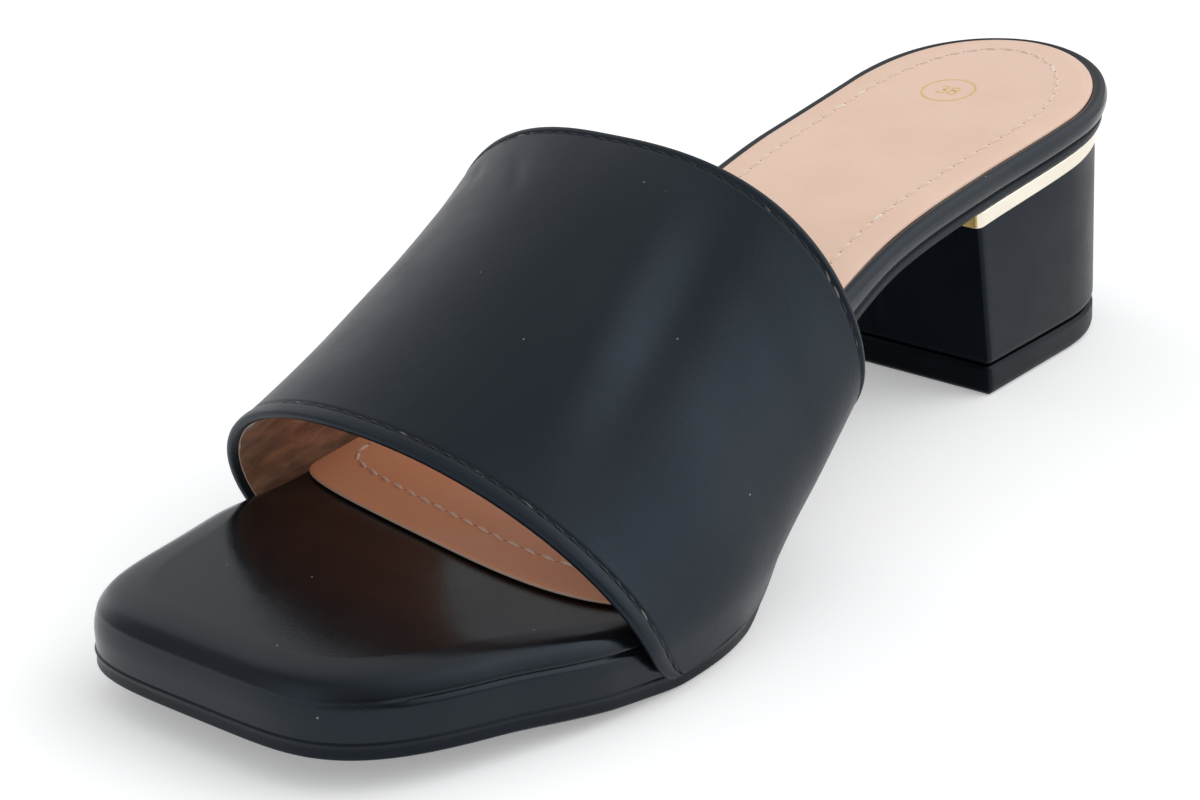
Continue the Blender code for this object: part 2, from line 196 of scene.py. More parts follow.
# Soft folds across the strap, as shares from its front to its rear edge and from its outer to its inner
# foot. A negative depth is a trough.
Fold = namedtuple("Fold", "from_row from_column to_row to_column half_width depth")
FOLDS = (
    Fold(0.87, 0.406, 0.13, 0.367, 0.0055, -0.0018),
    Fold(0.78, 0.441, 0.13, 0.388, 0.0058, 0.0012),
    Fold(0.84, 0.600, 0.70, 0.580, 0.0012, -0.0002),
    Fold(0.78, 0.550, 0.60, 0.525, 0.0014, -0.0002),
)
FOLD_FADE = 0.7

# Folded edges and seams of the strap
SKIN_WALL = 0.00115
EDGE_WALL = 0.00160
FRONT_HEM = 0.0022
REAR_HEM = 0.0012
REAR_HEM_SHARE = 0.05
FRONT_STITCH = 0.0029
REAR_STITCH = 0.0017
FRONT_SPAN = 1.6 * FRONT_STITCH
REAR_SPAN = 1.8 * REAR_STITCH
BEAD_SWELL = 0.00022
REAR_SWELL = 0.00012
GROOVE_DEPTH = 0.00024
GROOVE_WIDTH = 0.00036
STRAP_STITCH_PITCH = 0.0030
STRAP_STITCH_RADIUS = 0.00021

# The strap's lining: where it starts and ends, how thin it gets, and how it thins out toward its feet
LINING_FRONT = 0.0014
LINING_REAR = 0.0002
LINING_GLUE = 0.00003
LINING_LEAST = 0.0003
WRINKLE_DEPTH = 0.00014
FINE_WRINKLE_DEPTH = 0.00007
LINING_FOOT_LEAST = 0.00015
LINING_FOOT_GAP = 0.0001
LINING_FOOT_FROM = 0.14
LINING_FOOT_FADE = 0.06

# The crease on the platform's outer side, in stations and in shares of the platform's height
CREASE_FROM = 0.74
CREASE_TO = 0.965
CREASE_FADE = 0.03
CREASE_SHARE = 0.60
CREASE_HALF_WIDTH = 0.028
CREASE_DEPTH = 0.00045

# The heel's outline where the band starts and the top piece ends, as shares of the heel's height
BAND_SHARE = 0.94
TIP_SHARE = 0.12

# Faces turned this far forward belong to the heel's breast, which has the cover's seam and gets a darker
# copy of each material: painted shade
BREAST_TURN = -0.85
BREAST_REACH = 0.006
COVER_SEAM_X = 0.0015
COVER_SEAM_WIDTH = 0.0005
COVER_SEAM_DEPTH = 0.00025

# How far the strap's outer foot lifts over the sole behind its front corner
FOOT_LIFT = 0.0017
FOOT_LIFT_SPAN = 0.30

# The sock's seam
SOCK_STITCH_INSET = 0.0047
SOCK_STITCH_FRONT = 0.0098
SOCK_STITCH_WIDENING = 0.0022
SOCK_STITCH_PITCH = 0.0038
SOCK_STITCH_RADIUS = 0.00029
NEEDLE_HOLE_RADIUS = 0.00019
NEEDLE_HOLE_LIFT = 0.00003
NEEDLE_HOLE_FLATNESS = 0.25

# One stitch: its share of the pitch, its ends' taper, and its bow, sink and turn in shares of its radius
STITCH_SHARE = 0.84
STITCH_TAPER = 0.45
STITCH_BOW = 0.7
STITCH_SINK = 0.35
STITCH_TURN = 0.75
STITCH_SWAY = 0.30
STITCH_BEAT = 2.4
STITCH_SIDES = 8
STITCH_RINGS = 9

# The size print on the heel seat, in millimetres: a ring and a plain number, each stroke an arc
PRINT_CENTRE = (-0.0020, 0.0914)
PRINT_LINE = 0.42
PRINT_RAISE = 0.025
Arc = namedtuple("Arc", "x y across up from_degrees to_degrees")
SIZE_PRINT = (
    Arc(0.00, 0.00, 5.40, 5.40, 0.0, 360.0),
    Arc(-1.30, 0.80, 0.80, 0.75, -90.0, 150.0),
    Arc(-1.30, -0.80, 0.95, 0.85, -150.0, 90.0),
    Arc(1.30, 0.80, 0.75, 0.75, 0.0, 360.0),
    Arc(1.30, -0.80, 0.90, 0.85, 0.0, 360.0),
)

# Mesh density
PLAN_POINTS = 210
LAYERS = 48
CAP_COLUMNS = 12
HEEL_POINTS = 60
HEEL_SIDE_POINTS = 24
HEEL_CORNER_POINTS = 8
BREAST_POINTS = 60
STRAP_COLUMNS = 300
STRAP_EDGE_POINTS = 26
STRAP_FACE_POINTS = 74
STRAP_TURN_POINTS = 8
LINING_POINTS = 60
FEET_POINTS = 241
PRINT_POINTS = 72
STRAP_INNER_STEP = 3
STRAP_CROWDING = 0.12
SEAM_STEP = 0.0005
SEAM_ENDS = 4
SLOPE_STEP = 0.001
SHARP_DEGREES = 42.0

# Camera, worked out from the photo's 1200 by 800 frame
PHOTO_WIDTH = 1200.0
FOCAL_PIXELS = 2386.24
SENSOR_WIDTH = 36.0
CAMERA_AZIMUTH = 39.76
CAMERA_ELEVATION = 22.37
CAMERA_ROLL = -1.47
CAMERA_DISTANCE = 0.41704
CAMERA_TARGET = (-0.00400, -0.01876, 0.01856)

# The floor's own faint light keeps its shadows pale
FLOOR_SIZE = 3.0
FLOOR_WHITE = (0.93, 0.93, 0.93, 1.0)
FLOOR_GLOW = 0.28

# Soft patches of light in the sky, in degrees: azimuth from the way the camera looks, growing to its right
Lobe = namedtuple("Lobe", "azimuth elevation strength")
SKY = (
    Lobe(0.0, 90.0, 0.30),
    Lobe(45.0, 45.0, 0.90),
    Lobe(90.0, 45.0, 0.90),
    Lobe(135.0, 45.0, 0.50),
    Lobe(225.0, 45.0, 0.40),
    Lobe(315.0, 45.0, 0.32),
    Lobe(90.0, 12.0, 1.30),
    Lobe(225.0, 12.0, 0.90),
    Lobe(315.0, 12.0, 1.35),
)
LOBE_FOCUS = 6.5
SKY_TINT = (0.98, 0.99, 1.0, 1.0)


def ease(share):
    """A smooth step from 0 to 1."""
    share = np.clip(share, 0.0, 1.0)
    return share * share * (3.0 - 2.0 * share)


def unit(vectors):
    return vectors / np.linalg.norm(vectors, axis=-1)[..., None]


def through(places, values, at):
    """Reads a smooth curve through a table's values, with no overshoot between them."""
    places = np.array(places, float)
    values = np.array(values, float)
    at = np.clip(at, places[0], places[-1])
    steps = np.diff(values) / np.diff(places)
    before = steps[:-1]
    after = steps[1:]
    same_way = before * after > 0.0
    total = np.where(same_way, before + after, 1.0)
    inner_slopes = np.where(same_way, 2.0 * before * after / total, 0.0)
    slopes = np.concatenate(([steps[0]], inner_slopes, [steps[-1]]))
    k = np.clip(np.searchsorted(places, at, side="right") - 1, 0, len(steps) - 1)
    span = places[k + 1] - places[k]
    t = (at - places[k]) / span
    rise = t * t * (3.0 - 2.0 * t)
    start = t * (1.0 - t) * (1.0 - t) * slopes[k] * span
    end = t * t * (t - 1.0) * slopes[k + 1] * span
    return values[k] + rise * (values[k + 1] - values[k]) + start + end


def half_width(station, side):
    """Half width of the sole at a station, on the outer (1) or the inner (-1) side."""
    places = [row.station for row in OUTLINE]
    values = [row.of * (row.outer if side > 0 else row.inner) for row in OUTLINE]
    return through(places, values, station)


def underside(station):
    """Height of the outsole's tread above the floor."""
    places = [row.station for row in UNDERSIDE]
    arch = through(places, [row.heel for row in UNDERSIDE], station)
    toe = through(places, [row.spring for row in UNDERSIDE], station)
    return arch * SEAT_HEIGHT + toe * TOE_SPRING


def blend(heel, front, station):
    """From a value at the heel seat to one at the forefoot, such as a sole layer's thickness."""
    return heel + (front - heel) * ease((station - THICKENS_FROM) / (THICKENS_TO - THICKENS_FROM))


def station_of(y):
    return np.clip(0.5 - y / LENGTH, 0.0, 1.0)


def tread(y):
    return underside(station_of(y))


def outsole_top(y):
    return tread(y) + blend(OUTSOLE_HEEL, OUTSOLE_FRONT, station_of(y))


def platform_bottom(y):
    return outsole_top(y) + GAP


def platform_height(y):
    return blend(PLATFORM_HEEL, PLATFORM_FRONT, station_of(y))


def platform_top(y):
    return platform_bottom(y) + platform_height(y)


def platform_floor(y):
    """The platform's top face within its rim, which lies lower at the heel seat."""
    middle = PLATFORM_PROFILE[-1]
    share = blend(middle.seat_share, middle.toe_share, station_of(y))
    return platform_bottom(y) + platform_height(y) * share


def insole_bottom(y):
    return platform_floor(y) + GAP


def insole_top(y):
    return insole_bottom(y) + blend(INSOLE_THICKNESS, INSOLE_FRONT, station_of(y))


def corner(share, cap, power):
    """How far the outline closes in over its last stretch, 1 before it and 0 at the very end."""
    closing = np.clip((cap - share) / cap, 0.0, 1.0)
    return (1.0 - closing ** power) ** (1.0 / power)


def plan_points(plan, station, side, seat_inset=0.0, toe_inset=0.0, roll=0.0):
    """Points of the outline, drawn in, on the outer (1) or the inner (-1) side."""
    cap, power = (plan.outer_cap, plan.outer_power) if side > 0 else (plan.inner_cap, plan.inner_power)
    behind = station - seat_inset / LENGTH
    ahead = plan.front - (toe_inset + roll) / LENGTH - station
    closing = corner(behind, HEEL_CAP, HEEL_CAP_POWER) * corner(ahead, cap, power)
    rolled = ease((station - ROLLS_FROM) / (ROLLS_TO - ROLLS_FROM))
    width = (half_width(station, side) - blend(seat_inset, toe_inset, station) - roll * rolled) * closing
    middle = FOREFOOT_SWING * ease((station - SWINGS_FROM) / (1.0 - SWINGS_FROM))
    slant = plan.slant * ease(1.0 - ahead / SLANT_SPAN)
    x = middle + side * width
    y = (0.5 - station) * LENGTH + slant * side * width
    return np.stack([x, y, np.zeros_like(x)], axis=-1)


def plan_ring(plan, seat_inset=0.0, toe_inset=0.0, roll=0.0):
    """The closed outline, drawn in: the outer side from heel to toe, then the inner side back."""
    share = (1.0 - np.cos(np.pi * (np.arange(PLAN_POINTS) + 0.5) / PLAN_POINTS)) / 2.0
    start = seat_inset / LENGTH
    station = start + share * (plan.front - (toe_inset + roll) / LENGTH - start)
    insets = (seat_inset, toe_inset, roll)
    outer = plan_points(plan, station, 1, *insets)
    inner = plan_points(plan, station, -1, *insets)
    return np.concatenate([outer, inner[::-1]])


def inset_ring(ring, inset):
    """Moves each point of a closed outline inwards, square to the outline."""
    along = np.roll(ring, -1, axis=0) - np.roll(ring, 1, axis=0)
    inwards = unit(np.stack([along[:, 1], -along[:, 0], np.zeros(len(ring))], axis=-1))
    return ring + inwards * np.reshape(inset, (-1, 1))


def find_shift():
    """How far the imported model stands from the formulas' own frame, read from the outsole's box."""
    low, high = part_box("outsole")
    ring = plan_ring(SOLE_PLAN, min(edge.seat_inset for edge in OUTSOLE_PROFILE))
    middle_x = (ring[:, 0].min() + ring[:, 0].max()) / 2.0
    middle_y = (ring[:, 1].min() + ring[:, 1].max()) / 2.0
    return Vector(((low.x + high.x) / 2.0 - middle_x, (low.y + high.y) / 2.0 - middle_y, 0.0))


SHIFT = find_shift()


def add_object(name, data):
    added = bpy.data.objects.new(name, data)
    bpy.context.scene.collection.objects.link(added)
    return added


def add_piece(name, shape, materials, replaced=None):
    """Makes a piece from a bmesh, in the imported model's frame, and lets it ride on the part's one body."""
    mesh = bpy.data.meshes.new(name)
    bmesh.ops.recalc_face_normals(shape, faces=shape.faces)
    shape.transform(Matrix.Translation(SHIFT))
    shape.to_mesh(mesh)
    shape.free()
    mesh.shade_smooth()
    mesh.set_sharp_from_angle(angle=math.radians(SHARP_DEGREES))
    for material in materials:
        mesh.materials.append(material)
    piece = add_object(name, mesh)
    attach(piece, "root")
    if replaced:
        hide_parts(replaced)
    return piece


def add_rows(shape, rows):
    return [[shape.verts.new(point) for point in row] for row in rows]


def bridge(shape, lower, upper, closed=True, material=0):
    """Faces between two rows of vertices."""
    count = len(lower)
    for i in range(count if closed else count - 1):
        j = (i + 1) % count
        face = shape.faces.new((lower[i], upper[i], upper[j], lower[j]))
        face.material_index = material


def lofted(rows):
    """Rings of points joined from the bottom up, with the lowest and the highest ring of vertices."""
    shape = bmesh.new()
    rings = add_rows(shape, rows)
    for lower, upper in zip(rings, rings[1:]):
        bridge(shape, lower, upper)
    return shape, rings[0], rings[-1]


def cap(shape, ring, height):
    """Closes a sole's ring from side to side, with its height read again between the sides."""
    half = len(ring) // 2
    one_side = ring[1:half - 1]
    other_side = ring[-2:half:-1]
    columns = [one_side]
    for k in range(1, CAP_COLUMNS):
        column = []
        for outer, inner in zip(one_side, other_side):
            point = outer.co.lerp(inner.co, k / CAP_COLUMNS)
            point.z = float(height(point.y))
            column.append(shape.verts.new(point))
        columns.append(column)
    columns.append(other_side)
    for left, right in zip(columns, columns[1:]):
        bridge(shape, left, right, closed=False)
    shape.faces.new([ring[-1], ring[0]] + [column[0] for column in columns])
    shape.faces.new([ring[half], ring[half - 1]] + [column[-1] for column in columns])


def profile_rows(profile):
    """The columns of a side profile, read smoothly at even steps through its rows."""
    places = np.arange(len(profile))
    at = np.linspace(0.0, len(profile) - 1.0, LAYERS + 1)
    return np.stack([through(places, column, at) for column in zip(*profile)], axis=-1)


def wrap_crease(ring, share):
    """Depth of the crease between the platform's top and side, on the outer side ahead of the strap."""
    station = station_of(ring[:, 1])
    along = ease((station - CREASE_FROM) / CREASE_FADE) * ease((CREASE_TO - station) / CREASE_FADE)
    off = (share - CREASE_SHARE) / CREASE_HALF_WIDTH
    return CREASE_DEPTH * along * (ring[:, 0] > FOREFOOT_SWING) * np.exp(-off * off)


def slab(plan, profile, inset, bottom, top, floor, crease=None):
    """A sole layer: its outline drawn in and lifted edge by edge, closed at its top and bottom."""
    rows = []
    for seat_inset, seat_share, toe_inset, toe_share, roll in profile_rows(profile):
        ring = plan_ring(plan, inset + seat_inset, inset + toe_inset, roll)
        share = blend(seat_share, toe_share, station_of(ring[:, 1]))
        if crease:
            ring = inset_ring(ring, crease(ring, share))
        low = bottom(ring[:, 1])
        ring[:, 2] = low + share * (top(ring[:, 1]) - low)
        rows.append(ring)
    shape, lowest, highest = lofted(rows)
    cap(shape, lowest, bottom)
    cap(shape, highest, floor)
    return shape


def heel_side(top_share, side):
    """One side of the heel's D outline at a share of its height, from its back to its breast."""
    setback = HEEL_FOOT_SETBACK + (HEEL_TOP_SETBACK - HEEL_FOOT_SETBACK) * top_share
    depth = HEEL_FOOT_DEPTH + (HEEL_TOP_DEPTH - HEEL_FOOT_DEPTH) * top_share
    back = LENGTH / 2.0 - setback
    turn = back - HEEL_CAP * LENGTH

    def half(y):
        foot = HEEL_FOOT_WIDTH / 2.0 + side * HEEL_FOOT_SHIFT
        seat = half_width(station_of(y), side) - HEEL_TOP_INSET
        return foot + (seat - foot) * top_share

    ahead = np.cos(np.pi / 2.0 * (np.arange(HEEL_POINTS) + 0.5) / HEEL_POINTS)
    round_y = turn + (back - turn) * ahead
    round_x = half(round_y) * (1.0 - ahead ** HEEL_POWER) ** (1.0 / HEEL_POWER)
    edge = float(half(np.array(back - depth)))
    breast = back - depth + BREAST_SLANT * side * edge
    forwards = np.arange(1, HEEL_SIDE_POINTS + 1) / HEEL_SIDE_POINTS
    side_y = turn + (breast + BREAST_CORNER - turn) * forwards
    side_x = half(side_y)
    angle = np.pi / 2.0 * np.arange(1, HEEL_CORNER_POINTS + 1) / HEEL_CORNER_POINTS
    corner_x = edge - BREAST_CORNER * (1.0 - np.cos(angle))
    corner_y = breast + BREAST_CORNER * (1.0 - np.sin(angle))
    x = np.concatenate([round_x, side_x, corner_x]) * side
    y = np.concatenate([round_y, side_y, corner_y])
    return np.stack([x, y, np.zeros_like(x)], axis=-1)


def heel_ring(top_share):
    """The heel's closed D outline: the outer side, the breast and the inner side back."""
    outer = heel_side(top_share, 1)
    inner = heel_side(top_share, -1)
    across = (np.arange(1, BREAST_POINTS) / BREAST_POINTS)[:, None]
    breast = outer[-1] + (inner[-1] - outer[-1]) * across
    return np.concatenate([outer, breast, inner[::-1]])


def heel_piece(profile, proud, low, high, bottom, top, groove=None):
    """A piece of the heel between two height functions, with its outline read at shares of the heel."""
    rows = []
    for layer_inset, share in profile_rows(profile):
        base = heel_ring(low + (high - low) * share)
        inset = layer_inset - proud + np.zeros(len(base))
        if groove:
            inset += groove(base)
        ring = inset_ring(base, inset)
        under = bottom(ring[:, 1])
        ring[:, 2] = under + share * (top(ring[:, 1]) - under)
        rows.append(ring)
    shape, lowest, highest = lofted(rows)
    shape.faces.new(lowest)
    shape.faces.new(highest)
    bmesh.ops.recalc_face_normals(shape, faces=shape.faces)
    for face in shape.faces:
        face.material_index = int(face.normal.y < BREAST_TURN)
    return shape


def row_at(share):
    """The strap's section at shares of its width, on a curve through its three rows."""
    front = (1.0 - share) * (1.0 - 2.0 * share)
    middle = 4.0 * share * (1.0 - share)
    rear = share * (2.0 * share - 1.0)
    columns = zip(STRAP_FRONT, STRAP_MIDDLE, STRAP_REAR)
    return Row(*(front * a + middle * b + rear * c for a, b, c in columns))


def strap_feet():
    """Where the strap's outer face meets the sole on each side, at shares from its front to its rear."""
    share = np.linspace(0.0, 1.0, FEET_POINTS)
    row = row_at(share)
    lift = FOOT_LIFT * ease(share / FOOT_LIFT_SPAN)
    feet = []
    for station, side in ((row.outer_station, 1), (row.inner_station, -1)):
        points = plan_points(SOLE_PLAN, station, side)
        points[:, 0] += side * (STRAP_WALL + GAP - PLATFORM_INSET)
        points[:, 2] = outsole_top(points[:, 1]) + GAP + (side > 0) * lift
        feet.append(points)
    return share, feet[0], feet[1]


FEET_SHARES, OUTER_FEET, INNER_FEET = strap_feet()


def foot_at(feet, share):
    return np.stack([np.interp(share, FEET_SHARES, feet[:, k]) for k in range(3)], axis=-1)


def strap_face(share, around):
    """Points of the strap's outer face, before its folds. around is 0 at its outer foot, 1 at its inner."""
    share, around = np.broadcast_arrays(share, around)
    row = row_at(share)
    outer = foot_at(OUTER_FEET, share)
    inner = foot_at(INNER_FEET, share)
    angle = np.pi * (around - STRAP_CROWDING * np.sin(2.0 * np.pi * around))
    across = (1.0 - np.cos(angle)) / 2.0
    foot = outer + (inner - outer) * across[..., None]
    power = row.outer_power + (row.inner_power - row.outer_power) * across
    arch = np.maximum(np.sin(angle), 0.0) ** (2.0 / power)
    crown = STRAP_HEIGHT * row.height
    climb = arch * (crown - foot[..., 2])
    wall = STRAP_SHOULDER * platform_height(foot[..., 1])
    bend = np.maximum(climb - wall, 0.0) / (crown - foot[..., 2] - wall)
    reach = np.copysign(np.maximum(1.0 - bend ** power, 0.0) ** (1.0 / power), np.cos(angle))
    flare = STRAP_FLARE * np.where(reach > 0.0, row.outer_flare, row.inner_flare)
    tuck = np.exp(-(climb / STRAP_TUCK) ** 1.5)
    half = (outer[..., 0] - inner[..., 0]) / 2.0
    x = (outer[..., 0] + inner[..., 0]) / 2.0 + (half + flare * (1.0 - tuck)) * reach
    x = x + row.shift * BALL_WIDTH * bend ** 1.5
    y = foot[..., 1] + row.lean * STRAP_LEAN * arch ** row.lean_power
    return np.stack([x, y, foot[..., 2] + climb], axis=-1)


def fold_depth(points):
    """Height of the soft folds at places on the strap."""
    depth = np.zeros(points.shape[:-1])
    for fold in FOLDS:
        start = strap_face(fold.from_row, fold.from_column)
        end = strap_face(fold.to_row, fold.to_column)
        line = end - start
        along = (points - start) @ line / (line @ line)
        nearest = start + line * np.clip(along, 0.0, 1.0)[..., None]
        off = np.linalg.norm(points - nearest, axis=-1) / fold.half_width
        fade = ease(1.0 - np.abs(2.0 * np.clip(along, -0.2, 1.2) - 1.0) * FOLD_FADE)
        depth += fold.depth * fade * np.exp(-off * off)
    return depth


def face_normals(points):
    """Outward normals of a grid of points, front to rear by outer to inner foot."""
    normals = unit(np.cross(np.gradient(points, axis=0), np.gradient(points, axis=1)))
    crown = normals[normals.shape[0] // 2, normals.shape[1] // 2]
    return normals if crown[2] > 0.0 else -normals


def strap_surface(travels):
    """The folded outer face and its normals, at distances from the front edge given for each column."""
    around = np.linspace(0.0, 1.0, STRAP_COLUMNS + 1)
    shares = np.linspace(0.0, 1.0, FEET_POINTS)
    lines = strap_face(shares[:, None], around[None, :])
    steps = np.linalg.norm(np.diff(lines, axis=0), axis=-1)
    lengths = np.concatenate([np.zeros((1, len(around))), np.cumsum(steps, axis=0)])
    wanted = travels(lengths[-1])
    share = np.empty_like(wanted)
    for j in range(len(around)):
        share[:, j] = np.interp(wanted[:, j], lengths[:, j], shares)
    bare = strap_face(share, np.broadcast_to(around, share.shape))
    folded = bare + face_normals(bare) * fold_depth(bare)[..., None]
    return folded, face_normals(folded), wanted, lengths[-1]


def spaced(start, end, count):
    """count + 1 evenly spaced rows between two distances, of which each may differ by column."""
    share = (np.arange(count + 1) / count)[:, None]
    return start + (end - start) * share


def skin_travels(lengths):
    """Distances from the front edge for the rows of the strap's outer face, dense at its seams."""
    turn = EDGE_WALL / 2.0
    face_start = np.full_like(lengths, FRONT_SPAN)
    face_end = lengths - REAR_SPAN
    front = spaced(turn, face_start, STRAP_EDGE_POINTS)
    face = spaced(face_start, face_end, STRAP_FACE_POINTS)
    rear = spaced(face_end, lengths - turn, STRAP_EDGE_POINTS)
    return np.concatenate([front, face[1:], rear[1:]])


def relief(travel, length):
    """Height of the folded edges and of the stitched grooves over the strap's plain face."""
    def at_edge(off, stitch, swell):
        bead = swell * np.sin(np.pi * np.clip(off / stitch, 0.0, 1.0))
        return bead - GROOVE_DEPTH * np.exp(-((off - stitch) / GROOVE_WIDTH) ** 2)

    return at_edge(travel, FRONT_STITCH, BEAD_SWELL) + at_edge(length - travel, REAR_STITCH, REAR_SWELL)


def skin_wall(travel, length):
    """Thickness of the strap's outer leather, doubled over at its front edge."""
    front_hem = 1.0 - ease((travel - EDGE_WALL / 2.0) / FRONT_HEM)
    rear_hem = 1.0 - ease((length - travel - EDGE_WALL / 2.0) / REAR_HEM)
    return SKIN_WALL + (EDGE_WALL - SKIN_WALL) * front_hem + SKIN_WALL * REAR_HEM_SHARE * rear_hem


def edge_turn(point, normal, outwards, wall):
    """Rows of points round a folded edge, from the outer face to the inner one."""
    rows = []
    outwards = unit(outwards)
    radius = wall[:, None] / 2.0
    centre = point - normal * radius
    for k in range(1, STRAP_TURN_POINTS):
        angle = math.pi * k / STRAP_TURN_POINTS
        bulge = outwards * EDGE_WALL / 2.0 * math.sin(angle)
        rows.append(centre + normal * radius * math.cos(angle) + bulge)
    return rows


def strap_skin():
    """The strap's outer leather: its face, both folded edges and its inner side, as one closed body."""
    face, normals, travel, lengths = strap_surface(skin_travels)
    outer = face + normals * relief(travel, lengths)[..., None]
    wall = skin_wall(travel, lengths)
    inner = face - normals * wall[..., None]
    rear_turn = edge_turn(outer[-1], normals[-1], face[-1] - face[-2], wall[-1])
    front_turn = edge_turn(outer[0], normals[0], face[0] - face[1], wall[0])
    rows = list(outer) + rear_turn + list(inner[::-1][::STRAP_INNER_STEP]) + front_turn[::-1]
    shape = bmesh.new()
    rings = add_rows(shape, rows)
    for lower, upper in zip(rings, rings[1:] + rings[:1]):
        bridge(shape, lower, upper, closed=False)
    shape.faces.new([ring[0] for ring in rings])
    shape.faces.new([ring[-1] for ring in rings][::-1])
    return shape


def lining_wrinkles(points):
    """Depth of the lining's soft wrinkles, which run along the foot and die out at its edges."""
    x, y, z = np.moveaxis(points, -1, 0)
    slow = np.sin(z * 900.0 + 2.2 * np.sin(y * 160.0) + 1.4 * np.sin(x * 210.0))
    quick = np.sin(z * 1700.0 + 3.0 * np.sin(y * 240.0 + 1.0) + x * 300.0)
    return WRINKLE_DEPTH * slow + FINE_WRINKLE_DEPTH * quick


def strap_lining():
    """The strap's lining: a thin wrinkled sheet glued inside the leather, with a pale cut edge."""
    def travels(lengths):
        return spaced(LINING_FRONT, lengths - LINING_REAR, LINING_POINTS)

    face, normals, travel, lengths = strap_surface(travels)
    against = skin_wall(travel, lengths) + LINING_GLUE
    outer = face - normals * against[..., None]
    depth = np.full_like(travel, STRAP_WALL) + lining_wrinkles(face)
    depth = np.maximum(depth, against + LINING_LEAST)
    around = np.linspace(0.0, 1.0, travel.shape[1])
    near_foot = ease((LINING_FOOT_FROM - np.minimum(around, 1.0 - around)) / LINING_FOOT_FADE)
    foot_depth = np.maximum(against + LINING_FOOT_LEAST, STRAP_WALL - LINING_FOOT_GAP)
    depth = depth + (foot_depth - depth) * near_foot
    inner = face - normals * depth[..., None]
    shape = bmesh.new()
    outer_rows = add_rows(shape, outer)
    inner_rows = add_rows(shape, inner)
    for lower, upper in zip(outer_rows, outer_rows[1:]):
        bridge(shape, lower, upper, closed=False)
    for lower, upper in zip(inner_rows, inner_rows[1:]):
        bridge(shape, upper, lower, closed=False)
    bridge(shape, inner_rows[0], outer_rows[0], closed=False, material=1)
    bridge(shape, outer_rows[-1], inner_rows[-1], closed=False, material=2)
    for column in (0, -1):
        shape.faces.new([row[column] for row in outer_rows + inner_rows[::-1]])
    return shape


def add_stitch(shape, start, end, up, radius):
    """One stitch of thread: a slightly bowed capsule whose ends dip into the leather."""
    along = (end - start).normalized()
    across = along.cross(up).normalized()
    lift = across.cross(along).normalized()
    length = (end - start).length
    rows = []
    for k in range(STITCH_RINGS):
        share = (1.0 - math.cos(math.pi * (k + 0.5) / STITCH_RINGS)) / 2.0
        arch = math.sin(math.pi * share)
        middle = start + along * (length * share) + lift * radius * (STITCH_BOW * arch - STITCH_SINK)
        ring = []
        for i in range(STITCH_SIDES):
            angle = 2.0 * math.pi * i / STITCH_SIDES
            outwards = across * math.cos(angle) + lift * math.sin(angle)
            ring.append(middle + outwards * radius * arch ** STITCH_TAPER)
        rows.append(ring)
    verts = add_rows(shape, rows)
    for lower, upper in zip(verts, verts[1:]):
        bridge(shape, lower, upper)
    shape.faces.new(verts[0][::-1])
    shape.faces.new(verts[-1])


def resampled(points, pitch, closed):
    """Points at an even pitch along a line, fitted to its whole length."""
    if closed:
        points = np.concatenate([points, points[:1]])
    steps = np.linalg.norm(np.diff(points, axis=0), axis=1)
    travel = np.concatenate([[0.0], np.cumsum(steps)])
    count = int(round(travel[-1] / pitch))
    wanted = np.linspace(0.0, travel[-1], count + 1)
    return np.stack([np.interp(wanted, travel, points[:, k]) for k in range(3)], axis=-1)


def stitch_row(points, normals_at, pitch, radius, closed=False):
    """A row of stitches along a line, each a little turned, as real thread lies."""
    shape = bmesh.new()
    places = resampled(points, pitch, closed)
    spare = (1.0 - STITCH_SHARE) / 2.0
    for k in range(len(places) - 1):
        start = Vector(places[k])
        end = Vector(places[k + 1])
        up = Vector(normals_at(places[k]))
        along = (end - start).normalized()
        across = along.cross(up).normalized()
        turn = radius * (STITCH_TURN + STITCH_SWAY * math.sin(STITCH_BEAT * k))
        first = start.lerp(end, spare) - across * turn
        last = start.lerp(end, 1.0 - spare) + across * turn
        add_stitch(shape, first, last, up, radius)
    return shape


def strap_stitches(distance_from_front):
    """A row of stitches across the strap, which leaves a little free at both of its feet."""
    def travels(lengths):
        middle = distance_from_front(lengths)
        return np.stack([middle - SEAM_STEP, middle, middle + SEAM_STEP])

    face, normals, travel, lengths = strap_surface(travels)
    line = face[1] + normals[1] * relief(travel[1], lengths)[:, None]
    line = line[SEAM_ENDS:-SEAM_ENDS]
    ups = normals[1][SEAM_ENDS:-SEAM_ENDS]

    def normal_at(point):
        return ups[np.argmin(np.linalg.norm(line - point, axis=1))]

    return stitch_row(line, normal_at, STRAP_STITCH_PITCH, STRAP_STITCH_RADIUS)


def sock_seam_ring():
    """The sock's stitch line, an even way in from its edge and further from its front."""
    inset = INSOLE_INSET + SOCK_STITCH_INSET
    nearer = (SOCK_STITCH_FRONT - SOCK_STITCH_INSET) / LENGTH
    plan = INSOLE_PLAN._replace(front=INSOLE_PLAN.front - nearer)
    ring = plan_ring(plan, inset, inset - SOCK_STITCH_WIDENING)
    ring[:, 2] = insole_top(ring[:, 1])
    return ring


def sock_normal(point):
    front, back = insole_top(point[1] + np.array([-SLOPE_STEP, SLOPE_STEP]))
    return Vector((0.0, (front - back) / (2.0 * SLOPE_STEP), 1.0)).normalized()


def sock_stitches():
    ring = sock_seam_ring()
    return stitch_row(ring, sock_normal, SOCK_STITCH_PITCH, SOCK_STITCH_RADIUS, closed=True)


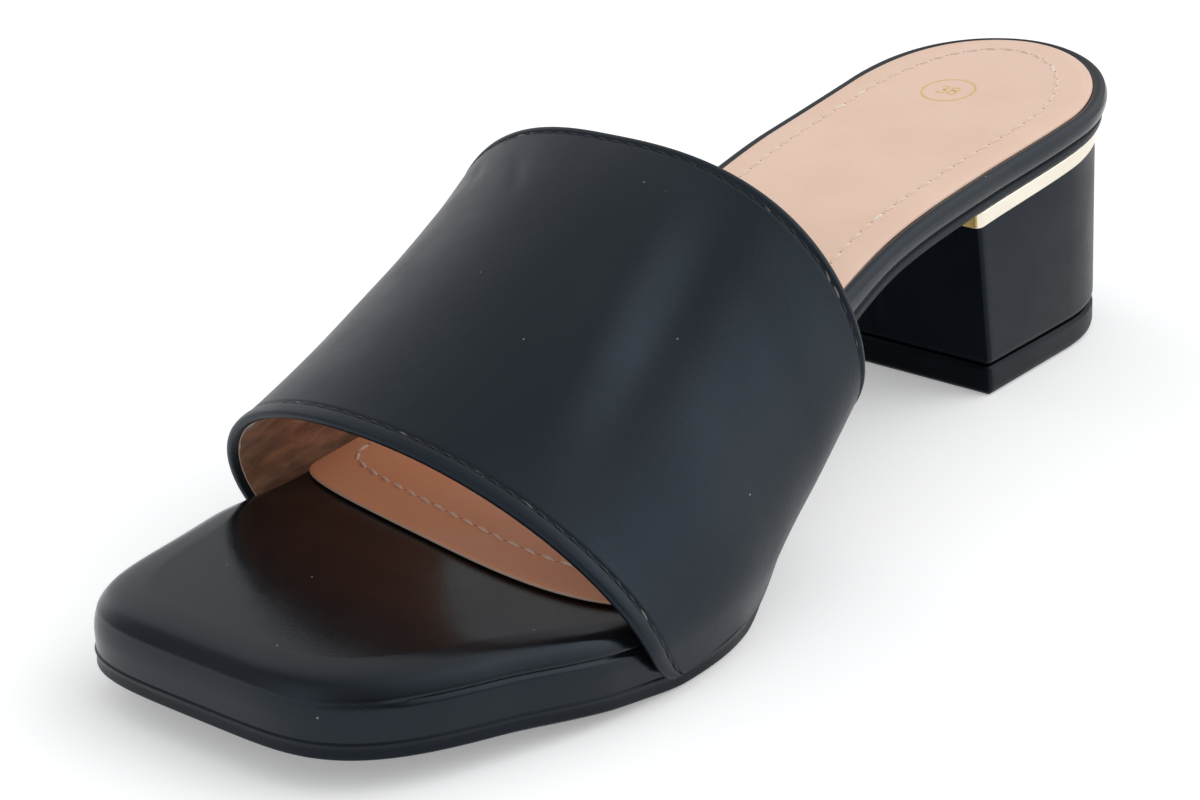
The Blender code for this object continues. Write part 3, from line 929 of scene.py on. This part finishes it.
def needle_holes():
    """Small dark dimples, painted shade of the holes where the needle went through the sock, one between
    each two stitches.
    """
    shape = bmesh.new()
    flat = Matrix.Diagonal((1.0, 1.0, NEEDLE_HOLE_FLATNESS, 1.0))
    for place in resampled(sock_seam_ring(), SOCK_STITCH_PITCH, True)[:-1]:
        up = sock_normal(place)
        turn = Vector((0.0, 0.0, 1.0)).rotation_difference(up).to_matrix().to_4x4()
        where = Matrix.Translation(Vector(place) + up * NEEDLE_HOLE_LIFT) @ turn @ flat
        bmesh.ops.create_icosphere(shape, subdivisions=1, radius=NEEDLE_HOLE_RADIUS, matrix=where)
    return shape


def print_stroke(shape, arc):
    """One stroke of the size print: a thin raised ribbon that follows the sock."""
    angles = np.radians(np.linspace(arc.from_degrees, arc.to_degrees, PRINT_POINTS + 1))
    closed = arc.to_degrees - arc.from_degrees == 360.0
    if closed:
        angles = angles[:-1]
    rows = []
    for reach, lift in ((-0.5, -1.0), (-0.5, 1.0), (0.5, 1.0), (0.5, -1.0)):
        x = PRINT_CENTRE[0] + (arc.x + (arc.across + reach * PRINT_LINE) * np.cos(angles)) / 1000.0
        y = PRINT_CENTRE[1] + (arc.y + (arc.up + reach * PRINT_LINE) * np.sin(angles)) / 1000.0
        rows.append(np.stack([x, y, insole_top(y) + lift * PRINT_RAISE / 1000.0], axis=-1))
    sides = add_rows(shape, rows)
    for one, other in zip(sides, sides[1:] + sides[:1]):
        bridge(shape, one, other, closed=closed)
    if not closed:
        shape.faces.new([side[0] for side in sides])
        shape.faces.new([side[-1] for side in sides][::-1])


def size_print():
    shape = bmesh.new()
    for arc in SIZE_PRINT:
        print_stroke(shape, arc)
    return shape


# Colours, from a darker to a lighter tone where there are two. The blacks shine a little blue.
BLACK_TINT = (0.68, 0.82, 1.0, 1.0)
Leather = namedtuple("Leather", "dark light low_rough high_rough grain")
PLATFORM_LEATHER = Leather((0.0028, 0.0036, 0.0048), (0.0044, 0.0052, 0.0064), 0.16, 0.26, 0.16)
STRAP_LEATHER = Leather((0.0048, 0.0072, 0.0104), (0.0068, 0.0096, 0.0134), 0.33, 0.43, 0.26)
HEEL_LEATHER = Leather((0.0030, 0.0046, 0.0078), (0.0046, 0.0064, 0.0100), 0.36, 0.46, 0.12)
PLATFORM_SHINE = 0.36
STRAP_SHINE = 0.33
OUTSOLE_SHINE = 0.22
HEEL_SHINE = 0.19
# The breast's lower shine is painted shade, for the breast faces the shaded floor under the arch.
BREAST_PAINTED_SHADE_SHINE = 0.03
DUST = (0.22, 0.21, 0.20)
OUTSOLE_BLACK = (0.0030, 0.0042, 0.0056)
OUTSOLE_ROUGHNESS = 0.36
TIP_BLACK = (0.0036, 0.0048, 0.0068)
TIP_ROUGHNESS = 0.46
# The sock's warmer tan toward the front is painted shade: the strap's shade with the lining's warm bounced
# light.
SOCK_FRONT_PAINTED_SHADE = (0.92, 0.44, 0.24)
SOCK_HEEL = (0.93, 0.66, 0.52)
SOCK_PATCHES = (0.86, 0.53, 0.38)
SOCK_CUT_EDGE = (0.62, 0.46, 0.38)
# The lining's darker tone is painted shade in its wrinkles.
SUEDE_WITH_WRINKLE_SHADE = ((0.20, 0.086, 0.038), (0.54, 0.27, 0.14))
PALE_THREAD = ((0.95, 0.78, 0.65), (1.0, 0.90, 0.80))
# The black thread's lighter tone is a painted glint on a few stitches.
BLACK_THREAD_AND_PAINTED_GLINT = ((0.008, 0.010, 0.013), (0.16, 0.15, 0.14))
PALE_GOLD = ((0.80, 0.73, 0.59), (0.86, 0.80, 0.69))
# The darker brown gold on the band's breast faces is painted shade.
BREAST_SHADE_GOLD = ((0.46, 0.31, 0.10), (0.56, 0.40, 0.16))
FOIL_GOLD = ((0.80, 0.50, 0.16), (0.90, 0.66, 0.30))
# The needle holes' dark colour is painted shade.
NEEDLE_HOLE_SHADE_COLOUR = (0.50, 0.28, 0.18)
LINING_CUT_EDGE = (0.72, 0.60, 0.52)
REAR_CUT_EDGE = (0.30, 0.17, 0.10)
EVEN = (1.0, 1.0, 1.0)


def add_node(tree, kind, inputs=(), **settings):
    """A shader node. Its inputs, by name or number, take a value or another node's output."""
    node = tree.nodes.new("ShaderNode" + kind)
    for key, value in settings.items():
        setattr(node, key, value)
    fill(tree, node, inputs)
    return node


def fill(tree, node, inputs):
    for key, value in dict(inputs).items():
        if isinstance(value, bpy.types.NodeSocket):
            tree.links.new(value, node.inputs[key])
        else:
            node.inputs[key].default_value = value


def worked_out(tree, operation, *values):
    return add_node(tree, "Math", enumerate(values), operation=operation).outputs[0]


def opaque(colour):
    return (*colour, 1.0) if isinstance(colour, tuple) else colour


class Surface:
    """A material's shader and the textures that feed it, in the object's own millimetres."""

    def __init__(self, name):
        self.material = bpy.data.materials.new(name)
        self.material.use_nodes = True
        self.tree = self.material.node_tree
        self.places = {}

    def finish(self, inputs):
        """Fills the shader's inputs and gives the material."""
        fill(self.tree, self.tree.nodes["Principled BSDF"], inputs)
        return self.material

    def place(self, stretch=EVEN):
        """Object coordinates in millimetres, stretched along each axis."""
        if stretch not in self.places:
            where = add_node(self.tree, "TexCoord").outputs["Object"]
            scale = [1000.0 * value for value in stretch]
            mapping = add_node(self.tree, "Mapping", {"Vector": where, "Scale": scale})
            self.places[stretch] = mapping.outputs["Vector"]
        return self.places[stretch]

    def noise(self, scale, detail, roughness=0.55, stretch=EVEN):
        inputs = {"Vector": self.place(stretch), "Scale": scale, "Detail": detail, "Roughness": roughness}
        return add_node(self.tree, "TexNoise", inputs).outputs["Fac"]

    def cells(self, scale):
        inputs = {"Vector": self.place(), "Scale": scale}
        return add_node(self.tree, "TexVoronoi", inputs).outputs["Distance"]

    def waves(self, direction, inputs):
        inputs = {"Vector": self.place(), **inputs}
        return add_node(self.tree, "TexWave", inputs, bands_direction=direction).outputs["Fac"]

    def ranged(self, value, low, high, to_low=0.0, to_high=1.0):
        """Maps a value from one range to another."""
        inputs = {"Value": value, "From Min": low, "From Max": high, "To Min": to_low, "To Max": to_high}
        return add_node(self.tree, "MapRange", inputs).outputs["Result"]

    def mixed(self, share, first, second):
        """Mixes two colours, each a tuple or another node's output."""
        inputs = {"Factor": share, 6: opaque(first), 7: opaque(second)}
        return add_node(self.tree, "Mix", inputs, data_type="RGBA").outputs[2]

    def added(self, first, second, weight):
        """One height plus another times a weight."""
        return worked_out(self.tree, "MULTIPLY_ADD", second, weight, first)

    def bump(self, height, strength, distance_mm):
        inputs = {"Height": height, "Strength": strength, "Distance": distance_mm / 1000.0}
        return add_node(self.tree, "Bump", inputs).outputs["Normal"]

    def along(self, axis, vector):
        return add_node(self.tree, "SeparateXYZ", {0: vector}).outputs[axis]

    def turned_from(self, axis):
        """1 on faces that are turned against an axis, and 0 on all others."""
        facing = add_node(self.tree, "NewGeometry").outputs["Normal"]
        return self.ranged(self.along(axis, facing), -0.9, -0.6, 1.0, 0.0)


def leather(name, tones, shine, dust=False):
    """Smooth synthetic leather: a faint pebble grain, patchy gloss and colour, and specks of dust."""
    skin = Surface(name)
    colour = skin.mixed(skin.ranged(skin.noise(0.05, 4.0), 0.35, 0.68), tones.dark, tones.light)
    if dust:
        specks = skin.ranged(skin.cells(0.16), 0.020, 0.030, 1.0, 0.0)
        colour = skin.mixed(specks, colour, DUST)
    gloss = skin.added(skin.noise(0.11, 5.0), skin.noise(1.9, 3.0), 0.35)
    pebbles = skin.added(skin.cells(1.7), skin.noise(4.5, 4.0), 0.6)
    return skin.finish({
        "Base Color": colour,
        "Roughness": skin.ranged(gloss, 0.45, 0.90, tones.low_rough, tones.high_rough),
        "Specular IOR Level": shine,
        "Specular Tint": BLACK_TINT,
        "Normal": skin.bump(skin.added(pebbles, skin.noise(0.35, 2.0), 1.5), tones.grain, 0.05),
    })


def rubber(name, colour, roughness, shine, ribbed=False):
    """Moulded rubber: matte, with a fine dull grain and, if ribbed, fine cross ribs on its tread."""
    skin = Surface(name)
    patches = skin.noise(0.09, 4.0)
    lighter = tuple(1.6 * value for value in colour)
    grain = skin.noise(3.2, 5.0, 0.65)
    normal = skin.bump(grain, 0.35, 0.06)
    if ribbed:
        waves = skin.waves("Y", {"Scale": 0.11, "Distortion": 1.6, "Detail": 0.0})
        ribs = worked_out(skin.tree, "MULTIPLY", waves, skin.turned_from("Z"))
        normal = skin.bump(skin.added(ribs, grain, 0.12), 0.9, 0.5)
    return skin.finish({
        "Base Color": skin.mixed(skin.ranged(patches, 0.4, 0.7), colour, lighter),
        "Roughness": skin.ranged(patches, 0.3, 0.7, roughness - 0.06, roughness + 0.08),
        "Specular IOR Level": shine,
        "Specular Tint": BLACK_TINT,
        "Normal": normal,
    })


def sock_leather():
    """The sock: pale pink leather with a fine even grain, painted a warmer tan toward the front as the
    strap's warm shade.
    """
    skin = Surface("sock_leather")
    # Painted shade: the sock turns a warmer tan toward the front, under the strap.
    forwards = skin.ranged(skin.along("Y", skin.place()), -35.0, 20.0, 1.0, 0.0)
    base = skin.mixed(forwards, SOCK_HEEL, SOCK_FRONT_PAINTED_SHADE)
    patches = skin.ranged(skin.noise(0.07, 4.0), 0.4, 0.7, 0.0, 0.30)
    worn = skin.mixed(patches, base, SOCK_PATCHES)
    grain = skin.added(skin.cells(2.2), skin.noise(5.0, 4.0), 0.6)
    return skin.finish({
        "Base Color": skin.mixed(skin.turned_from("Y"), worn, SOCK_CUT_EDGE),
        "Roughness": skin.ranged(skin.noise(0.4, 4.0), 0.3, 0.7, 0.42, 0.56),
        "Normal": skin.bump(skin.added(grain, skin.noise(0.5, 3.0), 1.2), 0.22, 0.05),
    })


def suede():
    """The strap's lining: napped tan suede, with painted shade in its wrinkles."""
    skin = Surface("lining_suede")
    wrinkles = skin.noise(0.22, 6.0, 0.62, stretch=(1.0, 0.5, 1.7))
    return skin.finish({
        # Painted shade: the darker tone follows the wrinkles' low places.
        "Base Color": skin.mixed(skin.ranged(wrinkles, 0.32, 0.68), *SUEDE_WITH_WRINKLE_SHADE),
        "Roughness": 0.85,
        "Sheen Weight": 0.25,
        "Sheen Roughness": 0.5,
        "Normal": skin.bump(skin.added(wrinkles, skin.noise(4.0, 5.0, 0.7), 0.18), 0.8, 0.6),
    })


def fibre(name, colour):
    """A cut edge of board or lining: pale, dull and slightly ragged."""
    skin = Surface(name)
    darker = tuple(0.62 * value for value in colour)
    ragged = skin.noise(1.6, 5.0, 0.7)
    return skin.finish({
        "Base Color": skin.mixed(skin.ranged(ragged, 0.35, 0.65), darker, colour),
        "Roughness": 0.8,
        "Normal": skin.bump(ragged, 0.5, 0.1),
    })


def thread(name, tones):
    """Twisted thread, here and there a lighter stitch; on the black thread the lighter stitches are a
    painted glint.
    """
    skin = Surface(name)
    twist = skin.waves("DIAGONAL", {"Scale": 2.2, "Distortion": 0.6})
    return skin.finish({
        "Base Color": skin.mixed(skin.ranged(skin.noise(0.16, 1.0), 0.60, 0.66), *tones),
        "Roughness": 0.42,
        "Normal": skin.bump(twist, 0.6, 0.08),
    })


def polished_gold(name, tones):
    """Gold trim, polished, with a faint lengthwise grain."""
    skin = Surface(name)
    grain = skin.noise(0.9, 4.0, stretch=(0.4, 0.4, 6.0))
    return skin.finish({
        "Base Color": skin.mixed(skin.ranged(skin.noise(0.06, 3.0), 0.35, 0.65), *tones),
        "Metallic": 1.0,
        "Roughness": skin.ranged(grain, 0.3, 0.7, 0.16, 0.26),
        "Normal": skin.bump(grain, 0.15, 0.02),
    })


def gold_foil():
    """The size print's gold foil, worn a little."""
    skin = Surface("gold_foil")
    worn = skin.mixed(skin.ranged(skin.noise(1.4, 4.0), 0.35, 0.65), *FOIL_GOLD)
    return skin.finish({"Base Color": worn, "Metallic": 0.25, "Roughness": 0.45})


def level(height):
    """A flat height function."""
    return lambda y: np.full_like(y, height)


def seat_low(y):
    """Underside of the gold band, along the slope of the heel seat."""
    return tread(y) - GAP - BAND_HEIGHT


def cover_seam(ring):
    """The heel cover's seam down its breast: a fine groove where its two ends meet."""
    off = (ring[:, 0] - COVER_SEAM_X) / COVER_SEAM_WIDTH
    on_breast = ring[:, 1] < LENGTH / 2.0 - HEEL_FOOT_DEPTH + BREAST_REACH
    return COVER_SEAM_DEPTH * np.exp(-off * off) * on_breast


def build_sole():
    shell = slab(SOLE_PLAN, OUTSOLE_PROFILE, 0.0, tread, outsole_top, outsole_top)
    black = rubber("outsole_tread_rubber", OUTSOLE_BLACK, OUTSOLE_ROUGHNESS, OUTSOLE_SHINE, ribbed=True)
    add_piece("outsole_shell", shell, [black], "outsole")
    wrap = slab(SOLE_PLAN, PLATFORM_PROFILE, PLATFORM_INSET, outsole_top, platform_top, platform_floor,
                wrap_crease)
    wrap_leather = leather("platform_leather", PLATFORM_LEATHER, PLATFORM_SHINE, dust=True)
    add_piece("platform_wrap_skin", wrap, [wrap_leather], "platform")
    sock = slab(INSOLE_PLAN, INSOLE_PROFILE, INSOLE_INSET, insole_bottom, insole_top, insole_top)
    add_piece("sock", sock, [sock_leather()], "insole")
    add_piece("sock_stitches", sock_stitches(), [thread("pale_thread", PALE_THREAD)])
    add_piece("sock_size_print", size_print(), [gold_foil()])
    add_piece("sock_needle_hole_painted_shade", needle_holes(), [fibre("needle_hole_painted_shade", NEEDLE_HOLE_SHADE_COLOUR)])


def build_strap():
    skin = leather("strap_leather", STRAP_LEATHER, STRAP_SHINE, dust=True)
    add_piece("strap_skin", strap_skin(), [skin], "upper")
    inside = [suede(), fibre("lining_cut_edge", LINING_CUT_EDGE), fibre("rear_cut_edge", REAR_CUT_EDGE)]
    add_piece("strap_lining", strap_lining(), inside)
    black_thread_with_painted_glints = thread("black_thread_with_painted_glints", BLACK_THREAD_AND_PAINTED_GLINT)
    front = strap_stitches(lambda lengths: np.full_like(lengths, FRONT_STITCH))
    add_piece("strap_front_stitches", front, [black_thread_with_painted_glints])
    rear = strap_stitches(lambda lengths: lengths - REAR_STITCH)
    add_piece("strap_rear_stitches", rear, [black_thread_with_painted_glints])


def build_heel():
    """The heel's pieces, each with one material all round and a darker copy on its breast, painted shade."""
    # The band's breast faces take the darker gold: painted shade.
    golds = [polished_gold("pale_gold", PALE_GOLD), polished_gold("breast_painted_shade_gold", BREAST_SHADE_GOLD)]
    band = heel_piece(BAND_PROFILE, BAND_PROUD, BAND_SHARE, 1.0, seat_low, tread)
    add_piece("heel_gold_band", band, golds, "heel_band")
    covers = [leather("heel_cover_leather", HEEL_LEATHER, HEEL_SHINE),
              leather("heel_breast_painted_shade_leather", HEEL_LEATHER, BREAST_PAINTED_SHADE_SHINE)]
    top_of_tip = level(TIP_HEIGHT + GAP)
    block = heel_piece(BLOCK_PROFILE, 0.0, TIP_SHARE, BAND_SHARE, top_of_tip, seat_low, cover_seam)
    add_piece("heel_cover_skin", block, covers, "heel_block")
    tips = [rubber("top_piece_rubber", TIP_BLACK, TIP_ROUGHNESS, HEEL_SHINE),
            rubber("top_piece_breast_painted_shade_rubber", TIP_BLACK, TIP_ROUGHNESS, BREAST_PAINTED_SHADE_SHINE)]
    top_piece = heel_piece(TIP_PROFILE, 0.0, 0.0, TIP_SHARE, level(0.0), level(TIP_HEIGHT))
    add_piece("heel_top_piece", top_piece, tips, "heel_tip")


def turned(degrees, axis):
    return Matrix.Rotation(math.radians(degrees), 4, axis)


def place_camera():
    """Looks at its target from a distance, turned by its azimuth, elevation and roll."""
    turns = turned(CAMERA_AZIMUTH, "Z") @ turned(90.0 - CAMERA_ELEVATION, "X") @ turned(CAMERA_ROLL, "Z")
    target = Matrix.Translation(Vector(CAMERA_TARGET) + SHIFT)
    back = Matrix.Translation((0.0, 0.0, CAMERA_DISTANCE))
    camera = bpy.data.cameras.new("camera")
    camera.sensor_width = SENSOR_WIDTH
    camera.sensor_fit = "HORIZONTAL"
    camera.lens = SENSOR_WIDTH * FOCAL_PIXELS / PHOTO_WIDTH
    camera.clip_start = 0.01
    viewer = add_object("camera", camera)
    viewer.matrix_world = target @ turns @ back
    bpy.context.scene.camera = viewer


def add_floor():
    mesh = bpy.data.meshes.new("floor")
    shape = bmesh.new()
    bmesh.ops.create_grid(shape, x_segments=1, y_segments=1, size=FLOOR_SIZE)
    shape.to_mesh(mesh)
    shape.free()
    mesh.materials.append(Surface("floor_white").finish({
        "Base Color": FLOOR_WHITE,
        "Roughness": 0.9,
        "Specular IOR Level": 0.0,
        "Emission Color": (1.0, 1.0, 1.0, 1.0),
        "Emission Strength": FLOOR_GLOW,
    }))
    floor = add_object("floor", mesh)


def sky_direction(lobe):
    azimuth = math.radians(CAMERA_AZIMUTH - lobe.azimuth)
    elevation = math.radians(lobe.elevation)
    away = math.cos(elevation)
    return -math.sin(azimuth) * away, math.cos(azimuth) * away, math.sin(elevation)


def light_studio():
    """A dark studio with soft patches of light around and above the sandal."""
    scene = bpy.context.scene
    world = bpy.data.worlds.new("studio")
    world.use_nodes = True
    tree = world.node_tree
    view = add_node(tree, "TexCoord").outputs["Generated"]
    total = 0.0
    for lobe in SKY:
        towards = {0: view, 1: sky_direction(lobe)}
        near = add_node(tree, "VectorMath", towards, operation="DOT_PRODUCT").outputs["Value"]
        glow = worked_out(tree, "EXPONENT", worked_out(tree, "MULTIPLY_ADD", near, LOBE_FOCUS, -LOBE_FOCUS))
        total = worked_out(tree, "MULTIPLY_ADD", glow, lobe.strength, total)
    fill(tree, tree.nodes["Background"], {"Color": SKY_TINT, "Strength": total})
    scene.world = world
    scene.view_settings.view_transform = "Standard"
    scene.view_settings.look = "None"


build_sole()
build_strap()
build_heel()
place_camera()
add_floor()
light_studio()
